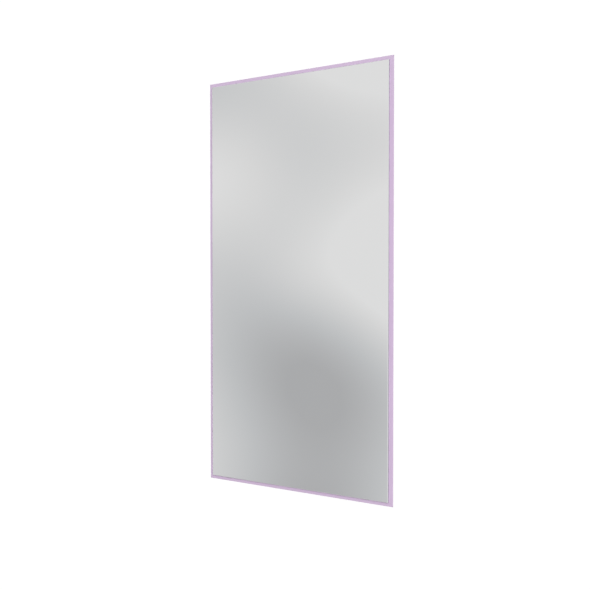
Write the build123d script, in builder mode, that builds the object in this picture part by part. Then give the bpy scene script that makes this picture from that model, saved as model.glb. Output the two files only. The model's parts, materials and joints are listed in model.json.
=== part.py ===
from build123d import *
import os

os.makedirs("parts", exist_ok=True)

# Wall mirror: a clear glass plate that stands proud of a slim flat frame.
# Frame: X to the viewer's right, +Z up, the wall is the plane Y = 0 and the
# mirror looks along -Y.  Origin: the middle of the wall rail's two screw holes,
# on the wall.  "d" below is a distance out from the wall, so Y = -d, and "u" is
# a distance in from the frame's outer edge.

# ------------------------------------------------------------ driving sizes, mm
WIDTH = 600.0            # outside of the frame
HEIGHT = 1200.0
BORDER = 11.6            # frame face left showing round the glass
TOP_Z = 55.0             # frame's top edge above the screw-hole line

# what lies where between the wall and the front of the glass
D_BACK = 2.0             # back of the frame rails, level with the rubber pads' glue
D_FACE = 18.4            # front face of the border
D_BED = 20.5             # raised bed that carries the glass
TAPE_T = 0.8             # foam bonding tape
FILM_T = 0.2             # splinter film on the back of the glass
GLASS_T = 4.0
ARRIS_FRONT = 1.5        # ground and polished front edge of the glass
ARRIS_BACK = 0.5

# frame rail, an extruded section
FLANGE_T = 2.0           # thin front flange
U_WEB = 14.0             # outer web starts this far in, so the frame seems to float
U_BED = 11.8             # the bed starts just under the edge of the glass
U_IN = 30.0              # inner face of the inner web
WEB_T = 1.6
SEPTUM_D = 12.6          # wall between the key channel and the front chamber
SEPTUM_T = 1.4
LIP_T = 1.6
SLOT_LO, SLOT_HI = 19.0, 25.0   # open slot at the back of the key channel
LEDGE_U = 38.0           # board ledge and hanging lip both reach this far in
LEDGE_D = 17.5           # front of the board ledge
LEDGE_T = 1.6
HANG_T = 1.8             # hanging lip
EDGE_R = 0.6             # rounded outer edge of the face
MITRE_GAP = 0.05         # each rail stops this short of the mitre line

# board behind the glass
BOARD_T = 3.0
BOARD_GAP = 0.5
SCREW_U = 34.0           # screw line, in the middle of the ledge
SCREW_R = 1.5
SCREW_L = 6.0
SCREW_HEAD_R = 2.8

# corner joint
KEY_U0 = 15.8
KEY_W = 12.4
KEY_LEG = 55.0
KEY_T = 4.0
PLATE_T = 1.5
GRUB_R = 2.5
GRUB_AT = (38.0, 58.0)   # grub screws, distance along each leg from the outer edge
GRUB_SOCKET = 2.5        # across flats

# wall rail
RAIL_L = 518.0
RAIL_T = 2.0
RAIL_BOTTOM = -15.0
RAIL_OUT = 6.3           # front of the upstand
RAIL_HOLE_R = 2.75
RAIL_HOLE_SPACING = 400.0
HOOK_H = 7.0             # upstand above the shelf that carries the hanging lip

# rubber pads
PAD_L = 30.0
PAD_W = 15.0

# ------------------------------------------------------------ worked-out sizes
X0 = WIDTH / 2
BOT_Z = TOP_Z - HEIGHT
MID_Z = TOP_Z - HEIGHT / 2
HANG_Z = TOP_Z - LEDGE_U            # underside of the top rail's hanging lip
D_TAPE = D_BED + TAPE_T
D_FILM = D_TAPE + FILM_T
D_GLASS = D_FILM + GLASS_T
GLASS_W = WIDTH - 2 * BORDER
GLASS_H = HEIGHT - 2 * BORDER

# the rail's section as (u, d) corners; the front chamber is cut out of it
SECTION = [
    (0, D_FACE - FLANGE_T), (U_WEB, D_FACE - FLANGE_T), (U_WEB, D_BACK),
    (SLOT_LO, D_BACK), (SLOT_LO, D_BACK + LIP_T), (U_WEB + WEB_T, D_BACK + LIP_T),
    (U_WEB + WEB_T, SEPTUM_D), (U_IN - WEB_T, SEPTUM_D),
    (U_IN - WEB_T, D_BACK + LIP_T), (SLOT_HI, D_BACK + LIP_T), (SLOT_HI, D_BACK),
    (LEDGE_U, D_BACK), (LEDGE_U, D_BACK + HANG_T), (U_IN, D_BACK + HANG_T),
    (U_IN, LEDGE_D - LEDGE_T), (LEDGE_U, LEDGE_D - LEDGE_T), (LEDGE_U, LEDGE_D),
    (U_IN, LEDGE_D), (U_IN, D_BED), (U_BED, D_BED), (U_BED, D_FACE), (0, D_FACE),
]
CHAMBER_LO = (U_WEB + WEB_T, SEPTUM_D + SEPTUM_T)
CHAMBER_HI = (U_IN - WEB_T, D_BED - FLANGE_T)
CHAMBER_MID = ((CHAMBER_LO[0] + CHAMBER_HI[0]) / 2, (CHAMBER_LO[1] + CHAMBER_HI[1]) / 2)
CHAMBER_SIZE = (CHAMBER_HI[0] - CHAMBER_LO[0], CHAMBER_HI[1] - CHAMBER_LO[1])

# each rail's section plane: local x points in from the outer edge, local y out
# from the wall
TOP_PLANE = Plane(origin=(0, 0, TOP_Z), x_dir=(0, 0, -1), z_dir=(-1, 0, 0))
BOTTOM_PLANE = Plane(origin=(0, 0, BOT_Z), x_dir=(0, 0, 1), z_dir=(1, 0, 0))
LEFT_PLANE = Plane(origin=(-X0, 0, MID_Z), x_dir=(1, 0, 0), z_dir=(0, 0, -1))
RIGHT_PLANE = Plane(origin=(X0, 0, MID_Z), x_dir=(-1, 0, 0), z_dir=(0, 0, 1))

# board screws, in x and z
SCREWS_TOP = [(x, TOP_Z - SCREW_U) for x in (-165.0, 165.0)]
SCREWS_BOTTOM = [(x, BOT_Z + SCREW_U) for x in (-165.0, 165.0)]
SCREW_ROWS = [MID_Z - 450.0, MID_Z - 150.0, MID_Z + 150.0, MID_Z + 450.0]
SCREWS_LEFT = [(-X0 + SCREW_U, z) for z in SCREW_ROWS]
SCREWS_RIGHT = [(X0 - SCREW_U, z) for z in SCREW_ROWS]
SCREWS_ALL = SCREWS_TOP + SCREWS_BOTTOM + SCREWS_LEFT + SCREWS_RIGHT


def corner_at(sx, sz, a, b):
    """A point a mm in from the side edge and b mm in from the top or bottom edge."""
    return (sx * (X0 - a), (TOP_Z - b) if sz > 0 else (BOT_Z + b))


def corner_outline(sx, sz):
    """Outline of the L-shaped corner key seen from the front."""
    far = KEY_U0 + KEY_LEG
    near = KEY_U0 + KEY_W
    return [
        corner_at(sx, sz, KEY_U0, KEY_U0), corner_at(sx, sz, far, KEY_U0),
        corner_at(sx, sz, far, near), corner_at(sx, sz, near, near),
        corner_at(sx, sz, near, far), corner_at(sx, sz, KEY_U0, far),
    ]


def corner_holes(sx, sz):
    """Grub screw centres of one corner: two on each leg, over the channel's slot."""
    mid = (SLOT_LO + SLOT_HI) / 2
    return [corner_at(sx, sz, s, mid) for s in GRUB_AT] + [corner_at(sx, sz, mid, s) for s in GRUB_AT]


# ------------------------------------------------------------ frame rails
with BuildPart() as frame_rail_top:
    with BuildSketch(TOP_PLANE) as top_section:
        with BuildLine():
            Polyline(*SECTION, close=True)
        make_face()
        fillet(top_section.vertices().filter_by_position(Axis.X, -0.1, 0.1), EDGE_R)
        with Locations(CHAMBER_MID):
            Rectangle(*CHAMBER_SIZE, mode=Mode.SUBTRACT)
    extrude(amount=X0, both=True)
    with BuildSketch(Plane.XZ):
        with BuildLine():
            Polyline(
                (-X0 + MITRE_GAP, TOP_Z), (X0 - MITRE_GAP, TOP_Z),
                (X0 - MITRE_GAP - 40, TOP_Z - 40), (-X0 + MITRE_GAP + 40, TOP_Z - 40), close=True,
            )
        make_face()
    extrude(amount=40, mode=Mode.INTERSECT)
    with BuildSketch(Plane.XZ.offset(LEDGE_D - LEDGE_T - 1)):
        with Locations(*SCREWS_TOP):
            Circle(SCREW_R + 0.05)
    extrude(amount=LEDGE_T + 2, mode=Mode.SUBTRACT)
frame_rail_top.part.label = "frame_rail_top"
export_step(frame_rail_top.part, "parts/frame_rail_top.step")

with BuildPart() as frame_rail_bottom:
    with BuildSketch(BOTTOM_PLANE) as bottom_section:
        with BuildLine():
            Polyline(*SECTION, close=True)
        make_face()
        fillet(bottom_section.vertices().filter_by_position(Axis.X, -0.1, 0.1), EDGE_R)
        with Locations(CHAMBER_MID):
            Rectangle(*CHAMBER_SIZE, mode=Mode.SUBTRACT)
    extrude(amount=X0, both=True)
    with BuildSketch(Plane.XZ):
        with BuildLine():
            Polyline(
                (-X0 + MITRE_GAP, BOT_Z), (X0 - MITRE_GAP, BOT_Z),
                (X0 - MITRE_GAP - 40, BOT_Z + 40), (-X0 + MITRE_GAP + 40, BOT_Z + 40), close=True,
            )
        make_face()
    extrude(amount=40, mode=Mode.INTERSECT)
    with BuildSketch(Plane.XZ.offset(LEDGE_D - LEDGE_T - 1)):
        with Locations(*SCREWS_BOTTOM):
            Circle(SCREW_R + 0.05)
    extrude(amount=LEDGE_T + 2, mode=Mode.SUBTRACT)
frame_rail_bottom.part.label = "frame_rail_bottom"
export_step(frame_rail_bottom.part, "parts/frame_rail_bottom.step")

with BuildPart() as frame_rail_left:
    with BuildSketch(LEFT_PLANE) as left_section:
        with BuildLine():
            Polyline(*SECTION, close=True)
        make_face()
        fillet(left_section.vertices().filter_by_position(Axis.X, -0.1, 0.1), EDGE_R)
        with Locations(CHAMBER_MID):
            Rectangle(*CHAMBER_SIZE, mode=Mode.SUBTRACT)
    extrude(amount=HEIGHT / 2, both=True)
    with BuildSketch(Plane.XZ):
        with BuildLine():
            Polyline(
                (-X0, BOT_Z + MITRE_GAP), (-X0, TOP_Z - MITRE_GAP),
                (-X0 + 40, TOP_Z - MITRE_GAP - 40), (-X0 + 40, BOT_Z + MITRE_GAP + 40), close=True,
            )
        make_face()
    extrude(amount=40, mode=Mode.INTERSECT)
    with BuildSketch(Plane.XZ.offset(LEDGE_D - LEDGE_T - 1)):
        with Locations(*SCREWS_LEFT):
            Circle(SCREW_R + 0.05)
    extrude(amount=LEDGE_T + 2, mode=Mode.SUBTRACT)
frame_rail_left.part.label = "frame_rail_left"
export_step(frame_rail_left.part, "parts/frame_rail_left.step")

with BuildPart() as frame_rail_right:
    with BuildSketch(RIGHT_PLANE) as right_section:
        with BuildLine():
            Polyline(*SECTION, close=True)
        make_face()
        fillet(right_section.vertices().filter_by_position(Axis.X, -0.1, 0.1), EDGE_R)
        with Locations(CHAMBER_MID):
            Rectangle(*CHAMBER_SIZE, mode=Mode.SUBTRACT)
    extrude(amount=HEIGHT / 2, both=True)
    with BuildSketch(Plane.XZ):
        with BuildLine():
            Polyline(
                (X0, BOT_Z + MITRE_GAP), (X0, TOP_Z - MITRE_GAP),
                (X0 - 40, TOP_Z - MITRE_GAP - 40), (X0 - 40, BOT_Z + MITRE_GAP + 40), close=True,
            )
        make_face()
    extrude(amount=40, mode=Mode.INTERSECT)
    with BuildSketch(Plane.XZ.offset(LEDGE_D - LEDGE_T - 1)):
        with Locations(*SCREWS_RIGHT):
            Circle(SCREW_R + 0.05)
    extrude(amount=LEDGE_T + 2, mode=Mode.SUBTRACT)
frame_rail_right.part.label = "frame_rail_right"
export_step(frame_rail_right.part, "parts/frame_rail_right.step")

# ------------------------------------------------------------ glass and its film
with BuildPart() as mirror_glass:
    with BuildSketch(Plane.XZ.offset(D_FILM)):
        with Locations((0, MID_Z)):
            Rectangle(GLASS_W, GLASS_H)
    extrude(amount=GLASS_T)
    chamfer(mirror_glass.faces().sort_by(Axis.Y)[0].edges(), ARRIS_FRONT)
    chamfer(mirror_glass.faces().sort_by(Axis.Y)[-1].edges(), ARRIS_BACK)
mirror_glass.part.label = "mirror_glass"
export_step(mirror_glass.part, "parts/mirror_glass.step")

with BuildPart() as safety_film:
    with BuildSketch(Plane.XZ.offset(D_TAPE)):
        with Locations((0, MID_Z)):
            RectangleRounded(GLASS_W - 3.0, GLASS_H - 3.0, 2.0)
    extrude(amount=FILM_T)
safety_film.part.label = "safety_film"
export_step(safety_film.part, "parts/safety_film.step")

# ------------------------------------------------------------ bonding tape
TAPE_U0, TAPE_W = 14.5, 12.0
TAPE_LONG = HEIGHT - 2 * (TAPE_U0 + TAPE_W) - 2.0

with BuildPart() as foam_tape_top:
    with BuildSketch(Plane.XZ.offset(D_BED)):
        with Locations((0, TOP_Z - TAPE_U0 - TAPE_W / 2)):
            Rectangle(WIDTH - 2 * TAPE_U0, TAPE_W)
    extrude(amount=TAPE_T)
foam_tape_top.part.label = "foam_tape_top"
export_step(foam_tape_top.part, "parts/foam_tape_top.step")

with BuildPart() as foam_tape_bottom:
    with BuildSketch(Plane.XZ.offset(D_BED)):
        with Locations((0, BOT_Z + TAPE_U0 + TAPE_W / 2)):
            Rectangle(WIDTH - 2 * TAPE_U0, TAPE_W)
    extrude(amount=TAPE_T)
foam_tape_bottom.part.label = "foam_tape_bottom"
export_step(foam_tape_bottom.part, "parts/foam_tape_bottom.step")

with BuildPart() as foam_tape_left:
    with BuildSketch(Plane.XZ.offset(D_BED)):
        with Locations((-X0 + TAPE_U0 + TAPE_W / 2, MID_Z)):
            Rectangle(TAPE_W, TAPE_LONG)
    extrude(amount=TAPE_T)
foam_tape_left.part.label = "foam_tape_left"
export_step(foam_tape_left.part, "parts/foam_tape_left.step")

with BuildPart() as foam_tape_right:
    with BuildSketch(Plane.XZ.offset(D_BED)):
        with Locations((X0 - TAPE_U0 - TAPE_W / 2, MID_Z)):
            Rectangle(TAPE_W, TAPE_LONG)
    extrude(amount=TAPE_T)
foam_tape_right.part.label = "foam_tape_right"
export_step(foam_tape_right.part, "parts/foam_tape_right.step")

# three upright strips that bond the middle of the glass to the board
with BuildPart() as board_tape_strips:
    with BuildSketch(Plane.XZ.offset(D_BED)):
        with Locations((-150, MID_Z), (0, MID_Z), (150, MID_Z)):
            Rectangle(20.0, HEIGHT - 200.0)
    extrude(amount=TAPE_T)
board_tape_strips.part.label = "board_tape_strips"
export_step(board_tape_strips.part, "parts/board_tape_strips.step")

# ------------------------------------------------------------ board and its screws
with BuildPart() as backing_board:
    with BuildSketch(Plane.XZ.offset(LEDGE_D)):
        with Locations((0, MID_Z)):
            Rectangle(WIDTH - 2 * (U_IN + BOARD_GAP), HEIGHT - 2 * (U_IN + BOARD_GAP))
        with Locations(*SCREWS_ALL):
            Circle(SCREW_R + 0.1, mode=Mode.SUBTRACT)
    extrude(amount=BOARD_T)
    # conical seats for the screw heads, open at the front
    with Locations(Plane.XZ.offset(D_BED)):
        with Locations(*SCREWS_ALL):
            Cone(
                bottom_radius=SCREW_R + 0.1, top_radius=SCREW_HEAD_R + 0.15,
                height=SCREW_HEAD_R - SCREW_R + 0.05,
                align=(Align.CENTER, Align.CENTER, Align.MAX), mode=Mode.SUBTRACT,
            )
backing_board.part.label = "backing_board"
export_step(backing_board.part, "parts/backing_board.step")

with BuildPart() as backing_board_screws:
    with Locations(Plane.XZ.offset(D_BED - 0.05)):
        with Locations(*SCREWS_ALL):
            Cone(
                bottom_radius=SCREW_R, top_radius=SCREW_HEAD_R, height=SCREW_HEAD_R - SCREW_R,
                align=(Align.CENTER, Align.CENTER, Align.MAX),
            )
            Cylinder(SCREW_R, SCREW_L, align=(Align.CENTER, Align.CENTER, Align.MAX))
            Box(2.8, 0.6, 0.9, align=(Align.CENTER, Align.CENTER, Align.MAX), mode=Mode.SUBTRACT)
            Box(0.6, 2.8, 0.9, align=(Align.CENTER, Align.CENTER, Align.MAX), mode=Mode.SUBTRACT)
backing_board_screws.part.label = "backing_board_screws"
export_step(backing_board_screws.part, "parts/backing_board_screws.step")

# ------------------------------------------------------------ corner keys
with BuildPart() as corner_key_top_left:
    with BuildSketch(Plane.XZ.offset(D_BACK + LIP_T)):
        with BuildLine():
            Polyline(*corner_outline(-1, 1), close=True)
        make_face()
        with Locations(*corner_holes(-1, 1)):
            Circle(GRUB_R, mode=Mode.SUBTRACT)
    extrude(amount=KEY_T)
corner_key_top_left.part.label = "corner_key_top_left"
export_step(corner_key_top_left.part, "parts/corner_key_top_left.step")

with BuildPart() as corner_key_top_right:
    with BuildSketch(Plane.XZ.offset(D_BACK + LIP_T)):
        with BuildLine():
            Polyline(*corner_outline(1, 1), close=True)
        make_face()
        with Locations(*corner_holes(1, 1)):
            Circle(GRUB_R, mode=Mode.SUBTRACT)
    extrude(amount=KEY_T)
corner_key_top_right.part.label = "corner_key_top_right"
export_step(corner_key_top_right.part, "parts/corner_key_top_right.step")

with BuildPart() as corner_key_bottom_left:
    with BuildSketch(Plane.XZ.offset(D_BACK + LIP_T)):
        with BuildLine():
            Polyline(*corner_outline(-1, -1), close=True)
        make_face()
        with Locations(*corner_holes(-1, -1)):
            Circle(GRUB_R, mode=Mode.SUBTRACT)
    extrude(amount=KEY_T)
corner_key_bottom_left.part.label = "corner_key_bottom_left"
export_step(corner_key_bottom_left.part, "parts/corner_key_bottom_left.step")

with BuildPart() as corner_key_bottom_right:
    with BuildSketch(Plane.XZ.offset(D_BACK + LIP_T)):
        with BuildLine():
            Polyline(*corner_outline(1, -1), close=True)
        make_face()
        with Locations(*corner_holes(1, -1)):
            Circle(GRUB_R, mode=Mode.SUBTRACT)
    extrude(amount=KEY_T)
corner_key_bottom_right.part.label = "corner_key_bottom_right"
export_step(corner_key_bottom_right.part, "parts/corner_key_bottom_right.step")

# thin plates that the grub screws press against, so they don't dent the rail
with BuildPart() as corner_plate_top_left:
    with BuildSketch(Plane.XZ.offset(SEPTUM_D - PLATE_T)):
        with BuildLine():
            Polyline(*corner_outline(-1, 1), close=True)
        make_face()
    extrude(amount=PLATE_T)
corner_plate_top_left.part.label = "corner_plate_top_left"
export_step(corner_plate_top_left.part, "parts/corner_plate_top_left.step")

with BuildPart() as corner_plate_top_right:
    with BuildSketch(Plane.XZ.offset(SEPTUM_D - PLATE_T)):
        with BuildLine():
            Polyline(*corner_outline(1, 1), close=True)
        make_face()
    extrude(amount=PLATE_T)
corner_plate_top_right.part.label = "corner_plate_top_right"
export_step(corner_plate_top_right.part, "parts/corner_plate_top_right.step")

with BuildPart() as corner_plate_bottom_left:
    with BuildSketch(Plane.XZ.offset(SEPTUM_D - PLATE_T)):
        with BuildLine():
            Polyline(*corner_outline(-1, -1), close=True)
        make_face()
    extrude(amount=PLATE_T)
corner_plate_bottom_left.part.label = "corner_plate_bottom_left"
export_step(corner_plate_bottom_left.part, "parts/corner_plate_bottom_left.step")

with BuildPart() as corner_plate_bottom_right:
    with BuildSketch(Plane.XZ.offset(SEPTUM_D - PLATE_T)):
        with BuildLine():
            Polyline(*corner_outline(1, -1), close=True)
        make_face()
    extrude(amount=PLATE_T)
corner_plate_bottom_right.part.label = "corner_plate_bottom_right"
export_step(corner_plate_bottom_right.part, "parts/corner_plate_bottom_right.step")

# M5 grub screws, hexagon socket towards the wall
GRUB_POINTS = corner_holes(-1, 1) + corner_holes(1, 1) + corner_holes(-1, -1) + corner_holes(1, -1)
GRUB_D0 = D_BACK + LIP_T
GRUB_L = SEPTUM_D - PLATE_T - GRUB_D0

with BuildPart() as corner_grub_screws:
    with BuildSketch(Plane.XZ.offset(GRUB_D0)):
        with Locations(*GRUB_POINTS):
            Circle(GRUB_R - 0.05)
    extrude(amount=GRUB_L)
    with BuildSketch(Plane.XZ.offset(GRUB_D0)):
        with Locations(*GRUB_POINTS):
            RegularPolygon(GRUB_SOCKET / 2, 6, major_radius=False)
    extrude(amount=2.2, mode=Mode.SUBTRACT)
    chamfer(corner_grub_screws.faces().filter_by(Axis.Y).group_by(Axis.Y)[0].edges(), 0.6)
corner_grub_screws.part.label = "corner_grub_screws"
export_step(corner_grub_screws.part, "parts/corner_grub_screws.step")

# ------------------------------------------------------------ wall rail
with BuildPart() as wall_rail:
    # local x is out from the wall, local y is up, so the sketch is (d, z)
    with BuildSketch(Plane(origin=(0, 0, 0), x_dir=(0, -1, 0), z_dir=(-1, 0, 0))) as rail_section:
        with BuildLine():
            Polyline(
                (0, RAIL_BOTTOM), (3.6, RAIL_BOTTOM), (3.6, RAIL_BOTTOM + 1.6), (RAIL_T, RAIL_BOTTOM + 1.6),
                (RAIL_T, HANG_Z - RAIL_T), (RAIL_OUT, HANG_Z - RAIL_T), (RAIL_OUT, HANG_Z + HOOK_H),
                (RAIL_OUT - RAIL_T, HANG_Z + HOOK_H), (RAIL_OUT - RAIL_T, HANG_Z), (0, HANG_Z), close=True,
            )
        make_face()
        fillet(rail_section.vertices().filter_by_position(Axis.Y, HANG_Z + HOOK_H - 0.1, HANG_Z + HOOK_H + 0.1), 0.7)
        fillet(
            rail_section.vertices().filter_by_position(Axis.X, 3.5, 3.7), 0.5,
        )
    extrude(amount=RAIL_L / 2, both=True)
    with BuildSketch(Plane.XZ.offset(-1)):
        with Locations((-RAIL_HOLE_SPACING / 2, 0), (RAIL_HOLE_SPACING / 2, 0)):
            Circle(RAIL_HOLE_R)
    extrude(amount=RAIL_T + 2, mode=Mode.SUBTRACT)
wall_rail.part.label = "wall_rail"
export_step(wall_rail.part, "parts/wall_rail.step")

# ------------------------------------------------------------ rubber wall pads
PAD_U = U_WEB + 0.5 + PAD_W / 2
PAD_AT = 110.0           # middle of a pad, in from the top or bottom edge

with BuildPart() as wall_pad_top_left:
    with BuildSketch(Plane.XZ):
        with Locations(corner_at(-1, 1, PAD_U, PAD_AT)):
            RectangleRounded(PAD_W, PAD_L, 3.0)
    extrude(amount=D_BACK)
wall_pad_top_left.part.label = "wall_pad_top_left"
export_step(wall_pad_top_left.part, "parts/wall_pad_top_left.step")

with BuildPart() as wall_pad_top_right:
    with BuildSketch(Plane.XZ):
        with Locations(corner_at(1, 1, PAD_U, PAD_AT)):
            RectangleRounded(PAD_W, PAD_L, 3.0)
    extrude(amount=D_BACK)
wall_pad_top_right.part.label = "wall_pad_top_right"
export_step(wall_pad_top_right.part, "parts/wall_pad_top_right.step")

with BuildPart() as wall_pad_bottom_left:
    with BuildSketch(Plane.XZ):
        with Locations(corner_at(-1, -1, PAD_U, PAD_AT)):
            RectangleRounded(PAD_W, PAD_L, 3.0)
    extrude(amount=D_BACK)
wall_pad_bottom_left.part.label = "wall_pad_bottom_left"
export_step(wall_pad_bottom_left.part, "parts/wall_pad_bottom_left.step")

with BuildPart() as wall_pad_bottom_right:
    with BuildSketch(Plane.XZ):
        with Locations(corner_at(1, -1, PAD_U, PAD_AT)):
            RectangleRounded(PAD_W, PAD_L, 3.0)
    extrude(amount=D_BACK)
wall_pad_bottom_right.part.label = "wall_pad_bottom_right"
export_step(wall_pad_bottom_right.part, "parts/wall_pad_bottom_right.step")
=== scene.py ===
import bpy
import json
import math
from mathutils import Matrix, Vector


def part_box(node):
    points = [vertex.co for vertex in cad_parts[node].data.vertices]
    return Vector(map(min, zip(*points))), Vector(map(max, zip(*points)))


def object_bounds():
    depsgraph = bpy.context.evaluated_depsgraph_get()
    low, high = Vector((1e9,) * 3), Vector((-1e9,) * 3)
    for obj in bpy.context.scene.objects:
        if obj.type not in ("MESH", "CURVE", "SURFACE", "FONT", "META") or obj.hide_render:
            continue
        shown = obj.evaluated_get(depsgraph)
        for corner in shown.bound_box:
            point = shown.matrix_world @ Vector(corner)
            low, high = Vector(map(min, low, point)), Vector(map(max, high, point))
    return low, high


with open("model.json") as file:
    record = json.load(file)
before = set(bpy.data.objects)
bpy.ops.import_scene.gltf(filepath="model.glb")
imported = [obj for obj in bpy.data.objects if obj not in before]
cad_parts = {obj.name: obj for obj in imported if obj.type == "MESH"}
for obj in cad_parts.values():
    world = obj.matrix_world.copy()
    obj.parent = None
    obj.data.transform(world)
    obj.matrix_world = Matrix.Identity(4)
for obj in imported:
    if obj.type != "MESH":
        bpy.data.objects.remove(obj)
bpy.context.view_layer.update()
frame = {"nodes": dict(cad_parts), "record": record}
nodes = frame["nodes"]
scene = bpy.context.scene


# ---------------------------------------------------------------- node helpers
def new_material(name):
    m = bpy.data.materials.new(name)
    m.use_nodes = True
    t = m.node_tree
    t.nodes.clear()
    out = t.nodes.new("ShaderNodeOutputMaterial")
    bsdf = t.nodes.new("ShaderNodeBsdfPrincipled")
    t.links.new(bsdf.outputs["BSDF"], out.inputs["Surface"])
    return m, t, bsdf


def node(tree, kind, **values):
    """A node, with its properties and its unlinked sockets set by name."""
    n = tree.nodes.new(kind)
    for key, value in values.items():
        if hasattr(n, key) and key not in n.inputs:
            setattr(n, key, value)
        else:
            n.inputs[key].default_value = value
    return n


def math_node(tree, op, a, b=None, clamp=False):
    n = tree.nodes.new("ShaderNodeMath")
    n.operation = op
    n.use_clamp = clamp
    for i, v in enumerate((a, b)):
        if v is None:
            continue
        if isinstance(v, (int, float)):
            n.inputs[i].default_value = v
        else:
            tree.links.new(v, n.inputs[i])
    return n.outputs[0]


def mix_color(tree, fac, a, b, blend="MIX"):
    n = tree.nodes.new("ShaderNodeMix")
    n.data_type = "RGBA"
    n.blend_type = blend
    for sock, v in ((n.inputs[0], fac), (n.inputs[6], a), (n.inputs[7], b)):
        if isinstance(v, (int, float)):
            sock.default_value = v
        elif isinstance(v, tuple):
            sock.default_value = (*v, 1.0)
        else:
            tree.links.new(v, sock)
    return n.outputs[2]


def ramp(tree, fac, stops):
    n = tree.nodes.new("ShaderNodeValToRGB")
    e = n.color_ramp.elements
    while len(e) > len(stops):
        e.remove(e[-1])
    while len(e) < len(stops):
        e.new(0.5)
    for el, (pos, c) in zip(e, stops):
        el.position = pos
        el.color = (*c, 1.0) if isinstance(c, tuple) else (c, c, c, 1.0)
    tree.links.new(fac, n.inputs[0])
    return n.outputs[0]


def coords(tree, scale=(1.0, 1.0, 1.0)):
    tc = tree.nodes.new("ShaderNodeTexCoord")
    mp = tree.nodes.new("ShaderNodeMapping")
    mp.inputs["Scale"].default_value = scale
    tree.links.new(tc.outputs["Object"], mp.inputs["Vector"])
    return mp.outputs["Vector"]


def noise(tree, vector, scale, detail=3.0, rough=0.5):
    n = node(tree, "ShaderNodeTexNoise", Scale=scale, Detail=detail, Roughness=rough)
    tree.links.new(vector, n.inputs["Vector"])
    return n.outputs["Fac"]


def bump(tree, bsdf, height, distance, strength=1.0):
    b = node(tree, "ShaderNodeBump", Strength=strength, Distance=distance)
    tree.links.new(height, b.inputs["Height"])
    tree.links.new(b.outputs["Normal"], bsdf.inputs["Normal"])


def map_range(tree, v, lo, hi, to_lo, to_hi):
    n = node(tree, "ShaderNodeMapRange", **{"From Min": lo, "From Max": hi, "To Min": to_lo, "To Max": to_hi})
    tree.links.new(v, n.inputs["Value"])
    return n.outputs[0]


# ---------------------------------------------------------------- materials
def coating():
    """Light lilac powder coat: satin, with the faint orange peel of the real thing."""
    m, t, b = new_material("lilac_coating")
    v = coords(t)
    broad = noise(t, v, 9.0, 2.0)
    fine = noise(t, v, 900.0, 2.0)
    base = ramp(t, broad, [(0.3, (0.588, 0.455, 0.628)), (0.7, (0.612, 0.478, 0.650))])
    speck = map_range(t, fine, 0.3, 0.7, 0.985, 1.015)
    t.links.new(mix_color(t, 1.0, base, speck, "MULTIPLY"), b.inputs["Base Color"])
    t.links.new(map_range(t, noise(t, v, 220.0, 2.0), 0.3, 0.7, 0.42, 0.50), b.inputs["Roughness"])
    peel = math_node(t, "ADD", noise(t, v, 700.0, 2.0), math_node(t, "MULTIPLY", fine, 0.35))
    bump(t, b, peel, 0.00004, 0.5)
    b.inputs["Specular IOR Level"].default_value = 0.4
    return m


def mirror():
    """Silvered glass plate: mirror in front, a bright polished arris, darker ground edges."""
    m, t, b = new_material("mirror_glass")
    tc = t.nodes.new("ShaderNodeTexCoord")
    xyz = t.nodes.new("ShaderNodeSeparateXYZ")
    t.links.new(tc.outputs["Object"], xyz.inputs[0])
    y = xyz.outputs["Y"]
    lo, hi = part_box("mirror_glass")
    front = math_node(t, "LESS_THAN", y, lo.y + 0.00002)
    arris = math_node(t, "LESS_THAN", y, lo.y + 0.00152)
    v = coords(t)
    haze = noise(t, v, 3.0, 3.0)
    silver = ramp(t, haze, [(0.3, (0.900, 0.905, 0.905)), (0.7, (0.915, 0.915, 0.915))])
    edge = ramp(t, noise(t, coords(t, (40.0, 1.0, 40.0)), 20.0, 2.0), [(0.3, (0.20, 0.25, 0.235)), (0.7, (0.25, 0.30, 0.28))])
    c = mix_color(t, arris, edge, (0.86, 0.87, 0.87))
    c = mix_color(t, front, c, silver)
    t.links.new(c, b.inputs["Base Color"])
    t.links.new(arris, b.inputs["Metallic"])
    r = map_range(t, noise(t, v, 60.0, 2.0), 0.3, 0.7, 0.16, 0.24)
    rough = math_node(t, "MULTIPLY", r, math_node(t, "SUBTRACT", 1.0, front))
    t.links.new(math_node(t, "MAXIMUM", rough, map_range(t, haze, 0.3, 0.7, 0.008, 0.016)), b.inputs["Roughness"])
    return m


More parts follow.
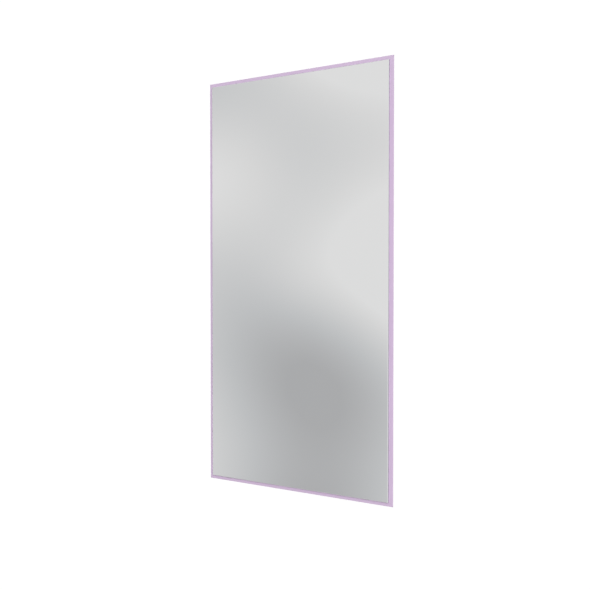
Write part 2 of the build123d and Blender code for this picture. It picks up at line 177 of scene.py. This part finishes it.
def hardboard():
    """Brown hardboard: fine fibres, and the screen pattern pressed into its back."""
    m, t, b = new_material("hardboard")
    v = coords(t)
    fibres = noise(t, coords(t, (1.0, 1.0, 1.0)), 420.0, 6.0, 0.65)
    blotch = noise(t, v, 14.0, 4.0, 0.55)
    mottle = noise(t, coords(t, (1.0, 1.0, 0.6)), 7.0, 9.0, 0.68)
    flecks = noise(t, coords(t, (1.0, 1.0, 0.35)), 1500.0, 3.0, 0.6)
    base = ramp(t, fibres, [(0.25, (0.150, 0.088, 0.045)), (0.5, (0.225, 0.138, 0.075)), (0.75, (0.315, 0.200, 0.115))])
    base = mix_color(t, map_range(t, blotch, 0.3, 0.7, 0.0, 0.35), base, (0.270, 0.170, 0.098))
    base = mix_color(t, math_node(t, "MULTIPLY", math_node(t, "GREATER_THAN", flecks, 0.66), 0.5), base, (0.40, 0.28, 0.17))
    base = mix_color(t, 1.0, base, ramp(t, mottle, [(0.30, (0.80, 0.78, 0.76)), (0.5, (1.0, 1.0, 1.0)), (0.70, (1.20, 1.21, 1.22))]), "MULTIPLY")
    t.links.new(base, b.inputs["Base Color"])
    t.links.new(map_range(t, fibres, 0.3, 0.7, 0.70, 0.86), b.inputs["Roughness"])
    xyz = t.nodes.new("ShaderNodeSeparateXYZ")
    t.links.new(v, xyz.inputs[0])
    wx = math_node(t, "SINE", math_node(t, "MULTIPLY", xyz.outputs["X"], 2 * math.pi / 0.0016))
    wz = math_node(t, "SINE", math_node(t, "MULTIPLY", xyz.outputs["Z"], 2 * math.pi / 0.0016))
    screen = math_node(t, "MULTIPLY", math_node(t, "ADD", wx, wz), 0.25)
    bump(t, b, math_node(t, "ADD", screen, fibres), 0.00015, 0.6)
    return m


def zinc():
    m, t, b = new_material("zinc_plated_steel")
    v = coords(t)
    n1 = noise(t, v, 160.0, 4.0, 0.6)
    t.links.new(ramp(t, n1, [(0.3, (0.48, 0.50, 0.52)), (0.7, (0.66, 0.67, 0.68))]), b.inputs["Base Color"])
    b.inputs["Metallic"].default_value = 1.0
    t.links.new(map_range(t, noise(t, v, 70.0, 3.0), 0.3, 0.7, 0.28, 0.42), b.inputs["Roughness"])
    bump(t, b, noise(t, v, 1200.0, 2.0), 0.00003, 0.4)
    return m


def black_steel():
    m, t, b = new_material("black_oxide_steel")
    v = coords(t)
    n1 = noise(t, v, 500.0, 3.0, 0.6)
    t.links.new(ramp(t, n1, [(0.3, (0.030, 0.030, 0.033)), (0.7, (0.055, 0.055, 0.058))]), b.inputs["Base Color"])
    b.inputs["Metallic"].default_value = 0.6
    t.links.new(map_range(t, n1, 0.3, 0.7, 0.32, 0.46), b.inputs["Roughness"])
    bump(t, b, noise(t, v, 2500.0, 2.0), 0.00002, 0.4)
    return m


def aluminium():
    """Mill finish extrusion: fine lines along X from the die."""
    m, t, b = new_material("mill_aluminium")
    lines = noise(t, coords(t, (0.6, 60.0, 60.0)), 28.0, 4.0, 0.6)
    cloud = noise(t, coords(t), 30.0, 3.0)
    base = ramp(t, lines, [(0.3, (0.66, 0.67, 0.68)), (0.7, (0.80, 0.80, 0.81))])
    t.links.new(mix_color(t, map_range(t, cloud, 0.3, 0.7, 0.0, 0.25), base, (0.62, 0.63, 0.65)), b.inputs["Base Color"])
    b.inputs["Metallic"].default_value = 1.0
    t.links.new(map_range(t, lines, 0.3, 0.7, 0.26, 0.40), b.inputs["Roughness"])
    bump(t, b, lines, 0.00004, 0.5)
    return m


def rubber():
    m, t, b = new_material("black_rubber")
    v = coords(t)
    n1 = noise(t, v, 800.0, 3.0, 0.6)
    t.links.new(ramp(t, n1, [(0.3, (0.016, 0.016, 0.017)), (0.7, (0.030, 0.030, 0.031))]), b.inputs["Base Color"])
    t.links.new(map_range(t, n1, 0.3, 0.7, 0.72, 0.86), b.inputs["Roughness"])
    bump(t, b, n1, 0.00006, 0.5)
    return m


def foam():
    m, t, b = new_material("bonding_foam")
    v = coords(t)
    cell = node(t, "ShaderNodeTexVoronoi", Scale=2600.0)
    t.links.new(v, cell.inputs["Vector"])
    t.links.new(ramp(t, cell.outputs["Distance"], [(0.1, (0.018, 0.018, 0.019)), (0.6, (0.045, 0.045, 0.047))]), b.inputs["Base Color"])
    t.links.new(map_range(t, cell.outputs["Distance"], 0.1, 0.6, 0.9, 0.75), b.inputs["Roughness"])
    bump(t, b, cell.outputs["Distance"], 0.00008, 0.6)
    return m


def film():
    m, t, b = new_material("splinter_film")
    v = coords(t)
    n1 = noise(t, v, 25.0, 3.0)
    t.links.new(ramp(t, n1, [(0.3, (0.17, 0.19, 0.21)), (0.7, (0.20, 0.22, 0.245))]), b.inputs["Base Color"])
    t.links.new(map_range(t, n1, 0.3, 0.7, 0.35, 0.5), b.inputs["Roughness"])
    return m


MATERIALS = {
    "frame_coating": coating(), "mirror": mirror(), "grey_film": film(), "bonding_foam": foam(),
    "hardboard": hardboard(), "zinc_steel": zinc(), "dark_steel": black_steel(),
    "mill_aluminium": aluminium(), "rubber": rubber(),
}
for entry in frame["record"]["subparts"]:
    o = nodes[entry["node"]]
    m = MATERIALS[entry["material_slot"]]
    if not o.data.materials:
        o.data.materials.append(m)
    for i in range(len(o.data.materials)):
        o.data.materials[i] = m

# ---------------------------------------------------------------- floor
lo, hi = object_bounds()
FLOOR_Z = lo.z - 0.30
bpy.ops.mesh.primitive_plane_add(size=60.0, location=(0.0, 0.0, FLOOR_Z))
floor = bpy.context.object
floor.name = "floor"
fm, ft, fb = new_material("pale_floor")
grain = noise(ft, coords(ft), 3.0, 2.0)
ft.links.new(ramp(ft, grain, [(0.3, (0.155, 0.155, 0.155)), (0.7, (0.165, 0.165, 0.165))]), fb.inputs["Base Color"])
fb.inputs["Roughness"].default_value = 0.9
fb.inputs["Specular IOR Level"].default_value = 0.0
fb.inputs["Emission Color"].default_value = (1.0, 1.0, 1.0, 1.0)
fb.inputs["Emission Strength"].default_value = 0.90
floor.data.materials.append(fm)
floor.visible_glossy = False
floor.visible_diffuse = False

# ---------------------------------------------------------------- light
world = bpy.data.worlds.new("studio")
scene.world = world
world.use_nodes = True
w = world.node_tree
w.nodes.clear()
w_out = w.nodes.new("ShaderNodeOutputWorld")
tc = w.nodes.new("ShaderNodeTexCoord")
direction = tc.outputs["Generated"]
sep = w.nodes.new("ShaderNodeSeparateXYZ")
w.links.new(direction, sep.inputs[0])


ROOM_SHADE, ROOM_LIGHT = 0.4485, 0.788


def lobe(c, k, amount):
    """A soft round patch of light, or of shade when amount is negative, around the
    direction c.  k sets how narrow it is."""
    dot = w.nodes.new("ShaderNodeVectorMath")
    dot.operation = "DOT_PRODUCT"
    w.links.new(direction, dot.inputs[0])
    dot.inputs[1].default_value = c
    e = math_node(w, "MULTIPLY", math_node(w, "SUBTRACT", dot.outputs["Value"], 1.0), k)
    return math_node(w, "MULTIPLY", math_node(w, "EXPONENT", e), amount)


def glow(x, z, k, amount):
    """A patch on the room in front of the mirror, towards (x, -1, z)."""
    return lobe(Vector((x, -1.0, z)).normalized(), k, amount)


# the soft grey room that the mirror reflects: broad patches of light and shade
room = math_node(w, "ADD", 0.90, 0.0)
for patch in (
    (-0.49, -0.09, 82.0, -0.80),
    (-0.45, -0.03, 98.0, 0.72),
    (-0.72, 0.34, 16.3, -0.393),
    (-0.477, 0.49, 92.0, 0.654),
    (-0.565, -0.458, 95.0, -0.462),
    (-0.576, 0.0, 400.0, 0.067),
    (-0.746, 0.18, 175.0, 0.225),
    # the rest of the room, for other viewpoints
    (0.62, 0.10, 12.0, -0.26),
    (0.02, 0.16, 45.0, -0.20),
    (0.10, -0.40, 40.0, -0.30),
):
    room = math_node(w, "ADD", room, glow(*patch))
room = math_node(w, "MINIMUM", math_node(w, "MAXIMUM", room, ROOM_SHADE), ROOM_LIGHT)
# soft uneven walls to either side of that part of the room
away = w.nodes.new("ShaderNodeVectorMath")
away.operation = "DOT_PRODUCT"
w.links.new(direction, away.inputs[0])
away.inputs[1].default_value = Vector((-0.58, -1.0, 0.0)).normalized()
off_axis = map_range(w, away.outputs["Value"], 0.945, 0.80, 0.0, 1.0)
cloud = map_range(w, noise(w, direction, 1.7, 1.5, 0.4), 0.36, 0.64, -0.24, 0.0)
room = math_node(w, "ADD", room, math_node(w, "MULTIPLY", cloud, off_axis))
# shade is a touch cooler than light
room_tint = ramp(w, map_range(w, room, ROOM_SHADE, ROOM_LIGHT, 0.0, 1.0), [(0.0, (0.985, 0.992, 1.012)), (0.35, (0.982, 1.0, 1.018)), (0.85, (1.0, 1.0, 1.0))])
room_c = mix_color(w, 1.0, room_tint, room, "MULTIPLY")
# the studio is white behind the wall plane, overhead and at the sides, and grey below
behind = map_range(w, sep.outputs["Y"], -0.10, 0.25, 0.0, 1.0)
above = map_range(w, sep.outputs["Z"], 0.45, 0.95, 0.0, 1.0)
side = map_range(w, sep.outputs["X"], 0.55, 0.95, 0.0, 0.9)
lit = math_node(w, "MAXIMUM", math_node(w, "MAXIMUM", behind, above), side)
white = math_node(w, "MINIMUM", map_range(w, sep.outputs["Z"], -0.75, -0.25, 0.62, 0.90), map_range(w, sep.outputs["Z"], 0.30, 0.80, 0.95, 0.72))
room_c = mix_color(w, lit, room_c, white)

bg_room = w.nodes.new("ShaderNodeBackground")
w.links.new(room_c, bg_room.inputs["Color"])
bg_white = w.nodes.new("ShaderNodeBackground")
bg_white.inputs["Color"].default_value = (1.0, 1.0, 1.0, 1.0)
bg_white.inputs["Strength"].default_value = 1.02
# diffuse light from the studio: brighter from the right and from above, and enough
# behind to show the back
bg_soft = w.nodes.new("ShaderNodeBackground")
soft = math_node(w, "ADD", 0.245, 0.0)
for towards, k, amount in (
    ((1.0, -0.4, 0.1), 3.0, 0.50),
    ((0.0, -0.4, 1.0), 3.0, 0.42),
    ((0.2, 1.0, 0.4), 2.0, 0.90),
):
    soft = math_node(w, "ADD", soft, lobe(Vector(towards).normalized(), k, amount))
w.links.new(soft, bg_soft.inputs["Strength"])
path = w.nodes.new("ShaderNodeLightPath")
mix1 = w.nodes.new("ShaderNodeMixShader")
w.links.new(path.outputs["Is Diffuse Ray"], mix1.inputs[0])
w.links.new(bg_room.outputs[0], mix1.inputs[1])
w.links.new(bg_soft.outputs[0], mix1.inputs[2])
mix2 = w.nodes.new("ShaderNodeMixShader")
w.links.new(path.outputs["Is Camera Ray"], mix2.inputs[0])
w.links.new(mix1.outputs[0], mix2.inputs[1])
w.links.new(bg_white.outputs[0], mix2.inputs[2])
w.links.new(mix2.outputs[0], w_out.inputs["Surface"])

# a large soft key in front of the mirror, a little above and to the right
key_data = bpy.data.lights.new("key", "SUN")
key_data.energy = 2.00
key_data.angle = math.radians(30.0)
key = bpy.data.objects.new("key", key_data)
scene.collection.objects.link(key)
key.rotation_euler = (-Vector((0.30, -1.0, 0.42))).to_track_quat("-Z", "Y").to_euler()
key.visible_glossy = False

# a soft box to the right, near enough to favour the right side
box_data = bpy.data.lights.new("right_box", "AREA")
box_data.shape = "RECTANGLE"
box_data.size = 1.0
box_data.size_y = 1.6
box_data.energy = 8.5
box = bpy.data.objects.new("right_box", box_data)
scene.collection.objects.link(box)
box.location = (1.9, -1.3, -0.35)
box.rotation_euler = (Vector((0.1, 0.0, -0.5)) - Vector(box.location)).to_track_quat("-Z", "Y").to_euler()
box.visible_glossy = False
box.visible_camera = False

scene.view_settings.view_transform = "Standard"
scene.view_settings.look = "None"
scene.view_settings.exposure = 0.0
scene.view_settings.gamma = 1.0

# ---------------------------------------------------------------- camera
cam_data = bpy.data.cameras.new("camera")
cam = bpy.data.objects.new("camera", cam_data)
scene.collection.objects.link(cam)
cam_data.sensor_width = 36.0
cam_data.lens = 45.346
cam.location = (1.06165, -1.85380, -0.54219)
cam.rotation_euler = (math.radians(90.0 - 1.0622), 0.0, math.radians(30.0815))
cam_data.clip_start = 0.05
cam_data.clip_end = 100.0
scene.camera = cam
